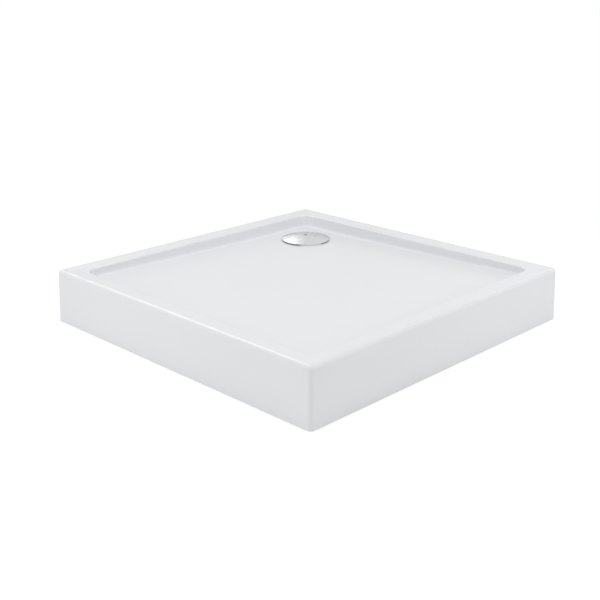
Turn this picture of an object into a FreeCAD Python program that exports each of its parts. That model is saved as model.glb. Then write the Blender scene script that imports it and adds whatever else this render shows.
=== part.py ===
import FreeCAD, Part
import math
import os
import re
import Sketcher

# A square shower tray with an apron on all four sides. A thin acrylic shell is stiffened from below by
# sprayed glass fibre and a chipboard board, and stands on five screw feet. A trap hangs in the waste hole
# near the back corner, under a loose chrome dome.
# Millimetres and degrees. +Z is up, the floor is z = 0 and the origin is under the middle of the tray.

SIZES = {
    # the visible tray
    "side": 800,
    "tray_height": 121,
    "apron_gap": 1,
    "apron_lean": 4,
    "corner_round": 9,
    "rim_round": 8.5,
    "rim_width": 44,
    "well_depth": 32,
    "well_round": 5.5,
    "well_lean": 9,
    "well_corner": 25,
    "well_cove": 9,
    "floor_fall": 2,
    "waste_inset": 148.5,
    "waste_hole": 90,
    "recess_dia": 112,
    "recess_depth": 3.5,
    "recess_slope": 1.5,
    "shell_wall": 4,
    # what stiffens it
    "backing_wall": 2.5,
    "backing_stop": 15,
    "bed_least": 1,
    "board_thick": 12,
    "board_inset": 90,
    "board_notch": 90,
    # the feet
    "foot_inset": 160,
    "foot_shift": 160,
    "block_side": 80,
    "block_base": 50,
    "rod_bore": 14,
    "plate_side": 70,
    "plate_thick": 2.5,
    "plate_round": 6,
    "screw_dia": 4,
    "screw_length": 16,
    "screw_head": 8,
    "screw_head_tall": 2.6,
    "screw_inset": 9,
    "rod_dia": 12,
    "rod_fit": 0.1,
    "rod_top": 62,
    "rod_point": 1.5,
    "nut_flats": 18,
    "nut_tall": 10,
    "lock_nut_tall": 6,
    "pad_dia": 50,
    "pad_tall": 12,
    "pad_edge": 3,
    "pad_floor": 4,
    "pad_neck": 19,
    "stub_dia": 10,
    "collar_flats": 16,
    "collar_tall": 5,
    # the trap
    "rim_gasket": 1,
    "flange_dia": 108,
    "flange_edge": 0.8,
    "flange_mouth": 3,
    "sleeve_wall": 3,
    "sleeve_play": 3,
    "sleeve_length": 24,
    "ledge_drop": 9.5,
    "ledge_width": 3,
    "body_gasket_thick": 3,
    "gasket_inset": 1,
    "trap_flange_dia": 116,
    "trap_flange_thick": 4,
    "neck_wall": 4.5,
    "pot_dia": 97,
    "pot_wall": 3,
    "pot_top": 61,
    "pot_base": 8,
    "pot_round": 12,
    "pot_shoulder": 2,
    "weir_dia": 70,
    "weir_wall": 2,
    "weir_top": 54,
    "dip_end": 20,
    "dip_dia": 48,
    "dip_wall": 2.5,
    "dip_collar_thick": 3,
    "plug_wall": 4,
    "plug_tall": 9,
    "funnel_tall": 7,
    "funnel_lift": 1,
    "o_ring_thick": 3,
    "groove_tall": 3.4,
    "groove_play": 0.1,
    "strainer_seat": 2,
    "strainer_wall": 1.5,
    "basket_deep": 26,
    "basket_dia": 40,
    "basket_edge": 1,
    "basket_slot": 3,
    "basket_slots": 12,
    "basket_hole": 4.8,
    "slot_inset": 3,
    # the dome over the waste
    "cover_dia": 123.5,
    "cover_rise": 10,
    "cover_lip": 1.5,
    "cover_gap": 2.2,
    "cover_wall": 1.2,
    "cover_hole": 7.5,
    "cover_edge": 0.8,
    "clip_wall": 3,
    "clip_tall": 5,
    "clip_edge": 1,
    "clip_leg": 9,
    "clip_legs": 4,
    "leg_inset": 0.5,
    # the outlet
    "outlet_height": 36,
    "pipe_dia": 40,
    "pipe_wall": 2,
    "pipe_length": 62,
    "ball_dia": 51,
    "ball_reach": 70,
    "ball_back": 12,
    "ball_throat": 34,
    "boss_dia": 58,
    "boss_wall": 3,
    "boss_end": 2,
    "seal_back": 17.5,
    "seal_front": 8,
    "cap_wall": 3.2,
    "cap_back": 13,
    "cap_front": 13.5,
    "cap_mouth": 47.2,
    "cap_edge": 0.8,
    "cap_lip": 2,
    "cap_taper": 6,
    "cap_step": 4,
    "cap_rib": 2.5,
    "cap_ribs": 12,
    # clearances, and how far shapes that cut run past what they cut
    "gap": 0.3,
    "thread_play": 0.2,
    "seal_fit": 0.1,
    "least_round": 0.5,
    "overrun": 10,
}

DRAIN = "(side / 2 - waste_inset)"
FLOOR = "(tray_height - well_depth)"
SEAT = "(tray_height - well_depth - recess_depth)"
BACKING_UNDER = "(tray_height - well_depth - recess_depth - shell_wall - backing_wall)"
BOARD_DROP = "(shell_wall + backing_wall + bed_least + floor_fall / 100 * recess_dia / 2)"
BOARD_TOP = f"(tray_height - well_depth - {BOARD_DROP})"
LEDGE = "(tray_height - well_depth - recess_depth - ledge_drop)"
SLEEVE = "(waste_hole / 2 - sleeve_play)"
BORE = "(waste_hole / 2 - sleeve_play - sleeve_wall)"
LEDGE_BORE = "(waste_hole / 2 - sleeve_play - sleeve_wall - ledge_width)"
PLUG = "(waste_hole / 2 - sleeve_play - sleeve_wall - ledge_width - gap)"
DIP_COLLAR_TOP = "(tray_height - well_depth - recess_depth - ledge_drop + gap + dip_collar_thick)"
POT_FLOOR = "(pot_base + pot_wall)"
COVER_BOTTOM = "(tray_height - well_depth + cover_gap)"
OUTWARD = FreeCAD.Rotation(FreeCAD.Vector(0, 0, 1), 225)
ALONG_OUTLET = OUTWARD.multiply(FreeCAD.Rotation(FreeCAD.Vector(0, 1, 0), 90))
NEAR = 0.01

doc = FreeCAD.newDocument("shower_tray")
sheet = doc.addObject("Spreadsheet::Sheet", "sizes")
for row, (size_name, value) in enumerate(SIZES.items(), 1):
    sheet.set(f"A{row}", size_name)
    sheet.set(f"B{row}", str(value))
    sheet.setAlias(f"B{row}", size_name)
doc.recompute()


# Tying shapes to the sheet.

def tie(formula):
    """A formula in size names, as the sheet's own."""
    return re.sub(r"[a-z][a-z_]+", lambda word: "sizes." + word[0] if word[0] in SIZES else word[0], formula)


def amount(formula):
    """What a formula in size names comes to."""
    return sheet.evalExpression(formula)


def bind(thing, **formulas):
    """Tie properties to formulas; a double underscore stands for a dot."""
    for name, formula in formulas.items():
        thing.setExpression(name.replace("__", "."), tie(formula))


def place(thing, x="0", y="0", z="0", turn=None):
    """Put a thing at a point given by formulas, turned if asked."""
    if turn:
        thing.Placement = FreeCAD.Placement(FreeCAD.Vector(), turn)
    bind(thing, Placement__Base__x=x, Placement__Base__y=y, Placement__Base__z=z)
    return thing


def sketch(body, role, lift="0", rise="0"):
    """An empty sketch on one of a body's own planes, moved along its normal or up its own Y."""
    drawing = body.newObject("Sketcher::SketchObject", body.Name + "_outline")
    drawing.AttachmentSupport = [(origin_part(body, role), "")]
    drawing.MapMode = "FlatFace"
    bind(drawing, AttachmentOffset__Base__z=lift, AttachmentOffset__Base__y=rise)
    return drawing


def outline(drawing, points):
    """A closed outline of straight lines whose corners are formulas."""
    count = len(points)
    rough = [FreeCAD.Vector(100 * math.cos(turn), 100 * math.sin(turn), 0)
             for turn in (2 * math.pi * index / count for index in range(count))]
    for index in range(count):
        drawing.addGeometry(Part.LineSegment(rough[index], rough[(index + 1) % count]), False)
    for index in range(count):
        drawing.addConstraint(Sketcher.Constraint("Coincident", index, 2, (index + 1) % count, 1))
    for index, (across, up) in enumerate(points):
        for kind, formula, axis, start in (
            ("DistanceX", across, -2, rough[index].x),
            ("DistanceY", up, -1, rough[index].y),
        ):
            if formula == "0":
                drawing.addConstraint(Sketcher.Constraint("PointOnObject", index, 1, axis))
                continue
            number = drawing.addConstraint(Sketcher.Constraint(kind, -1, 1, index, 1, start))
            name = f"{kind[-1].lower()}_{index}"
            drawing.renameConstraint(number, name)
            bind(drawing, **{"Constraints__" + name: formula})
    return drawing


def circle(drawing, radius, across, up):
    """A circle on a sketch, its radius and middle given by formulas."""
    number = drawing.GeometryCount
    drawing.addGeometry(Part.Circle(FreeCAD.Vector(20 * number + 10, 5, 0), FreeCAD.Vector(0, 0, 1), 3), False)
    fixed = [("Radius", (number, 3), radius)]
    for kind, formula, axis, start in (("DistanceX", across, -2, 20 * number + 10), ("DistanceY", up, -1, 5)):
        if formula == "0":
            drawing.addConstraint(Sketcher.Constraint("PointOnObject", number, 3, axis))
        else:
            fixed.append((kind, (-1, 1, number, 3, start), formula))
    for kind, points, formula in fixed:
        name = f"{kind.lower()}_{number}"
        drawing.renameConstraint(drawing.addConstraint(Sketcher.Constraint(kind, *points)), name)
        bind(drawing, **{"Constraints__" + name: formula})
    return drawing


def square(drawing, low, high):
    """A square outline from one corner to the opposite one."""
    return outline(drawing, [(low, low), (high, low), (high, high), (low, high)])


def new_body(name):
    return doc.addObject("PartDesign::Body", name)


def feature(body, kind, name, profile=None, base=None, **formulas):
    """Add a feature to a body, on a profile or on picked edges."""
    made = body.newObject("PartDesign::" + kind, name)
    if profile is not None:
        made.Profile = profile
    if base is not None:
        made.Base = base
    bind(made, **formulas)
    return made


def turned(body, kind, points, axis="V_Axis", rise="0", plane="XZ_Plane"):
    """Turn an outline on one of the body's upright planes about the sketch's own axis, adding or cutting."""
    drawing = outline(sketch(body, plane, rise=rise), points)
    made = feature(body, kind, body.Name + "_turned", drawing)
    made.ReferenceAxis = (drawing, [axis])
    made.Angle = 360
    return made


def edges(shape, wanted):
    """The names of the edges for which wanted is true."""
    return [f"Edge{number}" for number, edge in enumerate(shape.Edges, 1) if wanted(edge)]


def upright(edge):
    return abs(edge.tangentAt(edge.FirstParameter).z) > 0.5


def cylinder(name, radius, height, x="0", y="0", z="0", turn=None):
    made = doc.addObject("Part::Cylinder", name)
    bind(made, Radius=radius, Height=height)
    return place(made, x, y, z, turn)


def box(name, length, width, height, x, y, z):
    made = doc.addObject("Part::Box", name)
    bind(made, Length=length, Width=width, Height=height)
    return place(made, x, y, z)


def hexagon(name, flats, height, x="0", y="0", z="0"):
    """An upright hexagonal bar, sized across its flats."""
    made = doc.addObject("Part::Prism", name)
    made.Polygon = 6
    bind(made, Circumradius=f"{flats} / 2 / cos(30)", Height=height)
    return place(made, x, y, z)


def cut(name, base, tool):
    made = doc.addObject("Part::Cut", name)
    made.Base = base
    made.Tool = tool
    return made


def common(name, base, tool):
    made = doc.addObject("Part::Common", name)
    made.Base = base
    made.Tool = tool
    return made


def fuse(name, shapes):
    made = doc.addObject("Part::MultiFuse", name)
    made.Shapes = shapes
    made.Refine = True
    return made


def group(name, things):
    """Separate solids kept together in one sub-part."""
    made = doc.addObject("Part::Compound", name)
    made.Links = things
    return made


def origin_part(body, role):
    """One of a body's own planes or axes."""
    return [part for part in body.Origin.OriginFeatures if part.Role == role][0]


def repeat(body, original, name, count):
    """Copies of a feature spread evenly about the body's upright axis."""
    pattern = body.newObject("PartDesign::PolarPattern", name)
    pattern.Originals = [original]
    pattern.Axis = (origin_part(body, "Z_Axis"), [""])
    pattern.Angle = 360
    bind(pattern, Occurrences=count)
    body.Tip = pattern
    doc.recompute()
    return pattern


# The tray.

def tray_block(name, inside):
    """The tray's outer form with its wall set in by a distance: leaning sides, round corners and rim."""
    body = new_body(name)
    fall = "apron_lean / (tray_height - apron_gap)"
    low = "apron_gap"
    half = "(side / 2)"
    if inside != "0":
        low = "(apron_gap - overrun)"
        half = f"(side / 2 - {inside} + overrun * {fall})"
    drawing = square(sketch(body, "XY_Plane", low), f"-{half}", half)
    pad = feature(body, "Pad", name + "_pad", drawing,
                  Length=f"tray_height - {inside} - {low}", TaperAngle=f"-atan({fall})")
    doc.recompute()
    corners = feature(body, "Fillet", name + "_corners", base=(pad, edges(pad.Shape, upright)),
                      Radius=f"max(corner_round - {inside}; least_round)")
    doc.recompute()
    top = max(vertex.Z for vertex in corners.Shape.Vertexes) - NEAR
    rim = edges(corners.Shape, lambda edge: min(vertex.Z for vertex in edge.Vertexes) > top)
    feature(body, "Fillet", name + "_rim", base=(corners, rim),
            Radius=f"max(rim_round - {inside}; least_round)")
    return body


def well(name, outside):
    """The hollow that holds the water, grown by a distance: leaning walls, a floor that falls to the waste
    as a cone about its axis, and a shallow round recess for the waste flange."""
    body = place(new_body(name), DRAIN, DRAIN)
    half = f"(side / 2 - apron_lean - rim_width + {outside} / cos(well_lean))"
    mouth = square(sketch(body, "XY_Plane", "tray_height"), f"-{half} - {DRAIN}", f"{half} - {DRAIN}")
    pad = feature(body, "Pad", name + "_pad", mouth,
                  Length=f"well_depth + recess_depth + {outside} + overrun", TaperAngle="-well_lean")
    pad.Reversed = True
    doc.recompute()
    corners = feature(body, "Fillet", name + "_corners", base=(pad, edges(pad.Shape, upright)),
                      Radius=f"well_corner + {outside}")
    recess = f"(recess_dia / 2 + {outside})"
    floor = f"({FLOOR} - {outside})"
    far = "(2 * side)"
    under = turned(body, "Groove", [
        ("0", f"{SEAT} - {outside}"),
        (recess, f"{SEAT} - {outside}"),
        (f"{recess} + recess_slope", floor),
        (far, f"{floor} + floor_fall / 100 * ({far} - recess_dia / 2)"),
        (far, "-side"),
        ("0", "-side"),
    ])
    doc.recompute()
    clear = amount(f"{recess} + recess_slope + overrun")
    high = amount("tray_height - well_depth / 4")

    def at_wall_foot(edge):
        low = max(vertex.Z for vertex in edge.Vertexes) < high
        away = min(math.hypot(vertex.X, vertex.Y) for vertex in edge.Vertexes) > clear
        middle = edge.tangentAt((edge.FirstParameter + edge.LastParameter) / 2)
        return low and away and abs(middle.z) < 0.3

    feature(body, "Fillet", name + "_cove", base=(under, edges(under.Shape, at_wall_foot)),
            Radius=f"well_cove + {outside}")
    return body


def hollow(name, wall):
    """The space under the tray left inside a wall of the given thickness."""
    return cut(name, tray_block(name + "_block", wall), well(name + "_well", wall))


def tray_shell(under_shell):
    """One even acrylic wall over the rim, down the apron and round the well, with the waste hole."""
    raw = cut("shell_raw", tray_block("shell_block", "0"), well("shell_well", "0"))
    wall = cut("shell_even_wall", raw, under_shell)
    hole = cylinder("shell_hole", "waste_hole / 2", "well_depth", DRAIN, DRAIN, f"{FLOOR} - well_depth")
    holed = cut("shell_holed", wall, hole)
    doc.recompute()
    body = new_body("tray_shell")
    body.BaseFeature = holed
    doc.recompute()
    top = amount("tray_height") - NEAR
    mouth = amount("side / 2 - apron_lean - rim_width") + NEAR

    def at_mouth(edge):
        flat = min(vertex.Z for vertex in edge.Vertexes) > top
        return flat and max(max(abs(vertex.X), abs(vertex.Y)) for vertex in edge.Vertexes) < mouth

    feature(body, "Fillet", "well_mouth", base=(body.Tip, edges(body.Tip.Shape, at_mouth)),
            Radius="well_round")
    return body


# What stiffens it.

def slab(name, top, thick):
    """A slab that slopes with the middle of the floor: its top is the given height below the board's plane."""
    body = new_body(name)
    slope = FreeCAD.Rotation(FreeCAD.Vector(-1, 1, 0), 1)
    place(body, DRAIN, DRAIN, BOARD_TOP, slope)
    bind(body, Placement__Rotation__Angle="atan(floor_fall / 100)")
    drawing = square(sketch(body, "XY_Plane", top), "-2 * side", "2 * side")
    pad = feature(body, "Pad", name + "_pad", drawing, Length=thick)
    pad.Reversed = True
    return body


def board_outline(name):
    """The upright outline of the board, with a square notch round the trap."""
    body = new_body(name)
    half = "(side / 2 - board_inset)"
    notch = f"({DRAIN} - board_notch)"
    drawing = outline(sketch(body, "XY_Plane"), [
        (f"-{half}", f"-{half}"),
        (half, f"-{half}"),
        (half, notch),
        (notch, notch),
        (notch, half),
        (f"-{half}", half),
    ])
    feature(body, "Pad", name + "_pad", drawing, Length="tray_height")
    return body


def glass_fibre_backing(under_shell, under_backing):
    """Glass fibre sprayed on the shell's underside, and built up over the board into a flat bed."""
    lining = cut("backing_lining", under_shell, under_backing)
    over_board = slab("bed_slab", "tray_height", "tray_height")
    bed = common("bed_block", common("bed_outline", board_outline("bed_edge"), over_board), under_shell)
    whole = fuse("backing_whole", [lining, bed])
    stop = box("backing_trim", "2 * side", "2 * side", "side", "-side", "-side",
               "apron_gap + backing_stop - side")
    hole = cylinder("backing_hole", "waste_hole / 2", "tray_height", DRAIN, DRAIN)
    return cut("glass_fibre_backing", whole, group("backing_cuts", [stop, hole]))


def floor_board():
    """The chipboard board bonded under the bed, which carries the feet."""
    return common("floor_board", board_outline("board_edge"), slab("board_slab", "0", "board_thick"))


# The feet. Each stands under a wood block on a steel plate with a nut welded to it.

FAR_FOOT = "(side / 2 - foot_inset)"
NEAR_FOOT = "(side / 2 - foot_inset - foot_shift)"
FEET = [
    (f"-{FAR_FOOT}", f"-{FAR_FOOT}"),
    (FAR_FOOT, f"-{FAR_FOOT}"),
    (f"-{FAR_FOOT}", FAR_FOOT),
    (FAR_FOOT, NEAR_FOOT),
    (NEAR_FOOT, FAR_FOOT),
]
PLATE_BOTTOM = "(block_base - plate_thick)"
WELD_NUT_BOTTOM = "(block_base - plate_thick - nut_tall)"
LOCK_NUT_BOTTOM = "(block_base - plate_thick - nut_tall - lock_nut_tall)"
NUT_BORE = "(rod_dia / 2 + rod_fit)"


def at_feet(name, make):
    """The same thing under each foot, as one group of separate solids."""
    return group(name, [make(f"{name}_{foot}", x, y) for foot, (x, y) in enumerate(FEET, 1)])


def screw_places(x, y):
    """The four screw places of a plate."""
    reach = "(plate_side / 2 - screw_inset)"
    return [(f"{x} {across} {reach}", f"{y} {along} {reach}") for across in "+-" for along in "+-"]


def foot_blocks():
    """Wood blocks with level undersides whose tops follow the sloping board."""
    blocks = at_feet("block_stock", lambda name, x, y: box(
        name, "block_side", "block_side", "tray_height - block_base",
        f"{x} - block_side / 2", f"{y} - block_side / 2", "block_base"))
    under_board = slab("block_slab", "-board_thick", "tray_height")
    sloped = common("block_sloped", blocks, under_board)
    bores = at_feet("block_bores", lambda name, x, y: cylinder(
        name, "rod_bore / 2", "tray_height", x, y, "0"))
    pilots = at_feet("block_pilots", lambda name, x, y: group(name, [
        cylinder(f"{name}_{turn}", "screw_dia / 2", "screw_length", across, along, PLATE_BOTTOM)
        for turn, (across, along) in enumerate(screw_places(x, y))]))
    return cut("foot_blocks", sloped, group("block_holes", [bores, pilots]))


def foot_plate(name, x, y):
    """A square plate with round corners, a hole for the rod and four for screws."""
    body = place(new_body(name), x, y, PLATE_BOTTOM)
    pad = feature(body, "Pad", name + "_pad",
                  square(sketch(body, "XY_Plane"), "-plate_side / 2", "plate_side / 2"), Length="plate_thick")
    doc.recompute()
    corners = feature(body, "Fillet", name + "_corners", base=(pad, edges(pad.Shape, upright)),
                      Radius="plate_round")
    holes = circle(sketch(body, "XY_Plane"), NUT_BORE, "0", "0")
    for across, along in screw_places("0", "0"):
        circle(holes, "screw_dia / 2 + thread_play", across, along)
    pocket = feature(body, "Pocket", name + "_pocket", holes)
    pocket.Type = "ThroughAll"
    pocket.Midplane = True
    return body


def plate_screws():
    """Pan-head screws from below, each through a plate into its block."""
    def four(name, x, y):
        screws = []
        for turn, (across, along) in enumerate(screw_places(x, y)):
            head = cylinder(f"{name}_{turn}_head", "screw_head / 2", "screw_head_tall",
                            across, along, f"{PLATE_BOTTOM} - screw_head_tall")
            shank = cylinder(f"{name}_{turn}_shank", "screw_dia / 2", "screw_length",
                             across, along, PLATE_BOTTOM)
            screws.append(fuse(f"{name}_{turn}", [head, shank]))
        return group(name, screws)
    return at_feet("plate_screws", four)


def nuts(label, bottom, tall):
    """A hexagon nut at each foot, bored to clear the rod."""
    def one(name, x, y):
        body = hexagon(name + "_hexagon", "nut_flats", tall, x, y, bottom)
        bore = cylinder(name + "_bore", NUT_BORE, tall, x, y, bottom)
        return cut(name, body, bore)
    return at_feet(label, one)


def foot_pad(foot, x, y):
    """The plastic foot, with a socket in which the rod turns."""
    body = place(new_body(f"foot_pad_{foot}"), x, y)
    turned(body, "Revolution", [
        ("0", "0"),
        ("pad_dia / 2", "0"),
        ("pad_dia / 2", "pad_edge"),
        ("pad_neck / 2 + pad_edge", "pad_tall / 2"),
        ("pad_neck / 2", "pad_tall"),
        ("stub_dia / 2 + gap", "pad_tall"),
        ("stub_dia / 2 + gap", "pad_floor"),
        ("0", "pad_floor"),
    ])
    return body


def foot_rod(foot, x, y):
    """The threaded rod: a round stub in the pad, a hexagon collar to turn it by, and the thread."""
    name = f"foot_rod_{foot}"
    stub_bottom = "(pad_floor + gap)"
    collar_bottom = "(pad_tall + gap)"
    stub = cylinder(name + "_stub", "stub_dia / 2", f"{collar_bottom} - {stub_bottom}", x, y, stub_bottom)
    collar = hexagon(name + "_collar", "collar_flats", "collar_tall", x, y, collar_bottom)
    thread = cylinder(name + "_thread", "rod_dia / 2", f"rod_top - {collar_bottom} - collar_tall - rod_point",
                      x, y, f"{collar_bottom} + collar_tall")
    point = doc.addObject("Part::Cone", name + "_point")
    bind(point, Radius1="rod_dia / 2", Radius2="rod_dia / 2 - rod_point", Height="rod_point")
    place(point, x, y, "rod_top - rod_point")
    return fuse(name, [stub, collar, thread, point])


# The trap. These are turned about the waste's axis.

def at_waste(name):
    return place(new_body(name), DRAIN, DRAIN, "0", OUTWARD)


def ring(name, inner, outer, bottom, top):
    body = at_waste(name)
    turned(body, "Revolution", [(inner, bottom), (outer, bottom), (outer, top), (inner, top)])
    return body


def waste_flange():
    """A flange in the tray's recess, with a threaded sleeve that clamps the trap and a ledge in its bore."""
    body = at_waste("waste_flange")
    under = f"({SEAT} + rim_gasket)"
    turned(body, "Revolution", [
        (SLEEVE, under),
        ("flange_dia / 2", under),
        ("flange_dia / 2", f"{FLOOR} - flange_edge"),
        ("flange_dia / 2 - flange_edge", FLOOR),
        (f"{BORE} + flange_mouth", FLOOR),
        (BORE, f"{FLOOR} - flange_mouth"),
        (BORE, LEDGE),
        (LEDGE_BORE, LEDGE),
        (LEDGE_BORE, f"{SEAT} - sleeve_length"),
        (SLEEVE, f"{SEAT} - sleeve_length"),
    ])
    return body


def trap_body():
    """A pot with a flange and a threaded neck, and a side boss for the ball of the outlet."""
    body = at_waste("trap_body")
    top = f"({BACKING_UNDER} - body_gasket_thick)"
    neck = f"({SLEEVE} + thread_play)"
    turned(body, "Revolution", [
        ("0", "pot_base"),
        ("pot_dia / 2", "pot_base"),
        ("pot_dia / 2", "pot_top"),
        (f"{neck} + neck_wall", "pot_top + pot_shoulder"),
        (f"{neck} + neck_wall", f"{top} - trap_flange_thick"),
        ("trap_flange_dia / 2", f"{top} - trap_flange_thick"),
        ("trap_flange_dia / 2", top),
        ("0", top),
    ], plane="YZ_Plane")
    doc.recompute()
    low = amount("pot_base") + NEAR
    foot = edges(body.Tip.Shape, lambda edge: max(vertex.Z for vertex in edge.Vertexes) < low)
    feature(body, "Fillet", "pot_foot", base=(body.Tip, foot), Radius="pot_round")
    boss_end = "(ball_reach - boss_end)"
    turned(body, "Revolution", [
        ("pot_dia / 4", "0"),
        (boss_end, "0"),
        (boss_end, "boss_dia / 2"),
        ("pot_dia / 4", "boss_dia / 2"),
    ], "H_Axis", "outlet_height")
    inside = "(pot_dia / 2 - pot_wall)"
    slant = "(pot_round - pot_wall)"
    turned(body, "Groove", [
        ("0", top),
        (neck, top),
        (neck, "pot_top + pot_shoulder - pot_wall"),
        (inside, "pot_top - pot_wall"),
        (inside, f"{POT_FLOOR} + {slant}"),
        (f"{inside} - {slant}", POT_FLOOR),
        ("0", POT_FLOOR),
    ], plane="YZ_Plane")
    throat = "ball_throat / 2"
    throat_start = "(pot_dia / 2 - 2 * pot_wall)"
    turned(body, "Groove", [
        (throat_start, "0"),
        (boss_end, "0"),
        (boss_end, "boss_dia / 2 - boss_wall"),
        ("ball_reach - seal_back", "boss_dia / 2 - boss_wall"),
        ("ball_reach - seal_back", throat),
        (throat_start, throat),
    ], "H_Axis", "outlet_height")
    return body


def dip_tube():
    """The insert that lifts out: a collar on the ledge, a plug with a groove for its ring, and a tube that
    dips into the water."""
    body = at_waste("dip_tube")
    bore = f"({PLUG} - plug_wall)"
    plug_bottom = f"({LEDGE} - plug_tall)"
    funnel_end = f"({plug_bottom} - funnel_tall)"
    groove_middle = f"({LEDGE} - plug_tall / 2)"
    turned(body, "Revolution", [
        (PLUG, f"{LEDGE} + gap"),
        (f"{BORE} - gap", f"{LEDGE} + gap"),
        (f"{BORE} - gap", DIP_COLLAR_TOP),
        (f"{bore} + strainer_seat", DIP_COLLAR_TOP),
        (f"{bore} + strainer_seat", f"{DIP_COLLAR_TOP} - strainer_seat"),
        (bore, f"{DIP_COLLAR_TOP} - strainer_seat"),
        (bore, f"{plug_bottom} + funnel_lift"),
        ("dip_dia / 2 - dip_wall", f"{funnel_end} + funnel_lift"),
        ("dip_dia / 2 - dip_wall", "dip_end"),
        ("dip_dia / 2", "dip_end"),
        ("dip_dia / 2", funnel_end),
        (PLUG, plug_bottom),
        (PLUG, f"{groove_middle} - groove_tall / 2"),
        (f"{PLUG} - o_ring_thick + groove_play", f"{groove_middle} - groove_tall / 2"),
        (f"{PLUG} - o_ring_thick + groove_play", f"{groove_middle} + groove_tall / 2"),
        (PLUG, f"{groove_middle} + groove_tall / 2"),
    ])
    return body


def dip_tube_o_ring():
    """The ring in the plug's groove, a hair clear of the bore that it seals."""
    ring_made = doc.addObject("Part::Torus", "dip_tube_o_ring")
    bind(ring_made, Radius1=f"{PLUG} + gap - seal_fit - o_ring_thick / 2", Radius2="o_ring_thick / 2")
    return place(ring_made, DRAIN, DRAIN, f"{LEDGE} - plug_tall / 2", OUTWARD)


def hair_strainer():
    """A cup that hangs in the dip tube, with upright slots all round and holes in its floor."""
    body = at_waste("hair_strainer")
    seat = f"({DIP_COLLAR_TOP} - strainer_seat + gap)"
    top = f"({DIP_COLLAR_TOP} - strainer_seat + gap + strainer_wall)"
    rim = f"({PLUG} - plug_wall + strainer_seat - gap)"
    bottom = f"({seat} - basket_deep)"
    turned(body, "Revolution", [
        ("0", bottom),
        ("basket_dia / 2 - basket_edge", bottom),
        ("basket_dia / 2", f"{bottom} + basket_edge"),
        ("basket_dia / 2", seat),
        (rim, seat),
        (rim, top),
        ("basket_dia / 2 - strainer_wall", top),
        ("basket_dia / 2 - strainer_wall", f"{bottom} + strainer_wall"),
        ("0", f"{bottom} + strainer_wall"),
    ])
    doc.recompute()
    slot = outline(sketch(body, "XZ_Plane"), [
        ("-basket_slot / 2", f"{bottom} + slot_inset"),
        ("basket_slot / 2", f"{bottom} + slot_inset"),
        ("basket_slot / 2", f"{seat} - slot_inset"),
        ("-basket_slot / 2", f"{seat} - slot_inset"),
    ])
    window = feature(body, "Pocket", "strainer_slot", slot, Length="basket_dia")
    doc.recompute()
    repeat(body, window, "strainer_slots", "basket_slots")
    hole = sketch(body, "XY_Plane", f"{bottom} - strainer_wall / 2")
    circle(hole, "basket_hole / 2", "basket_dia / 4", "0")
    floor_hole = feature(body, "Pocket", "strainer_hole", hole, Length="2 * strainer_wall")
    floor_hole.Reversed = True
    doc.recompute()
    repeat(body, floor_hole, "strainer_holes", "basket_slots / 2")
    return body


# The dome and what holds it.

def dome_space(name, inset, bottom):
    """All that lies under a shallow round cap, set in by a distance, down to a level."""
    swell = "(cover_rise - cover_lip)"
    radius = f"(((cover_dia / 2) ^ 2 + {swell} ^ 2) / 2 / {swell})"
    ball = doc.addObject("Part::Sphere", name + "_ball")
    bind(ball, Radius=f"{radius} - {inset}")
    place(ball, "0", "0", f"{COVER_BOTTOM} + cover_rise - {radius}")
    side = cylinder(name + "_side", f"cover_dia / 2 - {inset}", "tray_height", "0", "0", bottom)
    return common(name, ball, side)


def drain_cover(inside):
    """The pressed dome: an upright lip, a rounded edge and a lifting hole in its middle."""
    pressed = cut("cover_pressed", dome_space("cover_outside", "0", COVER_BOTTOM), inside)
    hole = cylinder("cover_lift_hole", "cover_hole / 2", "tray_height", "0", "0", COVER_BOTTOM)
    holed = cut("cover_holed", pressed, hole)
    doc.recompute()
    body = at_waste("drain_cover")
    body.BaseFeature = holed
    doc.recompute()
    lip_top = amount(f"{COVER_BOTTOM} + cover_lip")
    reach = amount("cover_dia / 2")

    def at_lip_top(edge):
        outer = max(math.hypot(vertex.X, vertex.Y) for vertex in edge.Vertexes) > reach - NEAR
        return outer and min(vertex.Z for vertex in edge.Vertexes) > lip_top - NEAR

    feature(body, "Fillet", "cover_edge_round", base=(body.Tip, edges(body.Tip.Shape, at_lip_top)),
            Radius="cover_edge")
    return body


def cover_clip(inside):
    """A ring that centres the dome in the waste, with legs up to the underside of the dome."""
    bottom = f"({DIP_COLLAR_TOP} + gap)"
    outer = f"({BORE} - gap)"
    hoop = new_body("clip_hoop")
    turned(hoop, "Revolution", [
        (f"{outer} - clip_wall", bottom),
        (f"{outer} - clip_edge", bottom),
        (outer, f"{bottom} + clip_edge"),
        (outer, f"{bottom} + clip_tall"),
        (f"{outer} - clip_wall", f"{bottom} + clip_tall"),
    ])
    legs = new_body("clip_legs")
    near = f"({outer} - clip_wall + leg_inset)"
    far = f"({outer} - leg_inset)"
    foot = outline(sketch(legs, "XY_Plane", f"{bottom} + clip_tall / 2"), [
        (near, "-clip_leg / 2"),
        (far, "-clip_leg / 2"),
        (far, "clip_leg / 2"),
        (near, "clip_leg / 2"),
    ])
    leg = feature(legs, "Pad", "clip_leg", foot, Length="tray_height")
    doc.recompute()
    repeat(legs, leg, "clip_leg_ring", "clip_legs")
    whole = fuse("cover_clip", [hoop, common("clip_legs_trimmed", legs, inside)])
    return place(whole, DRAIN, DRAIN, "0", OUTWARD)


# The outlet. Its pieces lie along their own Z, from the middle of the ball.

OUTLET = f"({DRAIN} - ball_reach / sqrt(2))"


def at_outlet(thing):
    return place(thing, OUTLET, OUTLET, "outlet_height", ALONG_OUTLET)


def ball(name, radius):
    made = doc.addObject("Part::Sphere", name)
    bind(made, Radius=radius)
    return made


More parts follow.
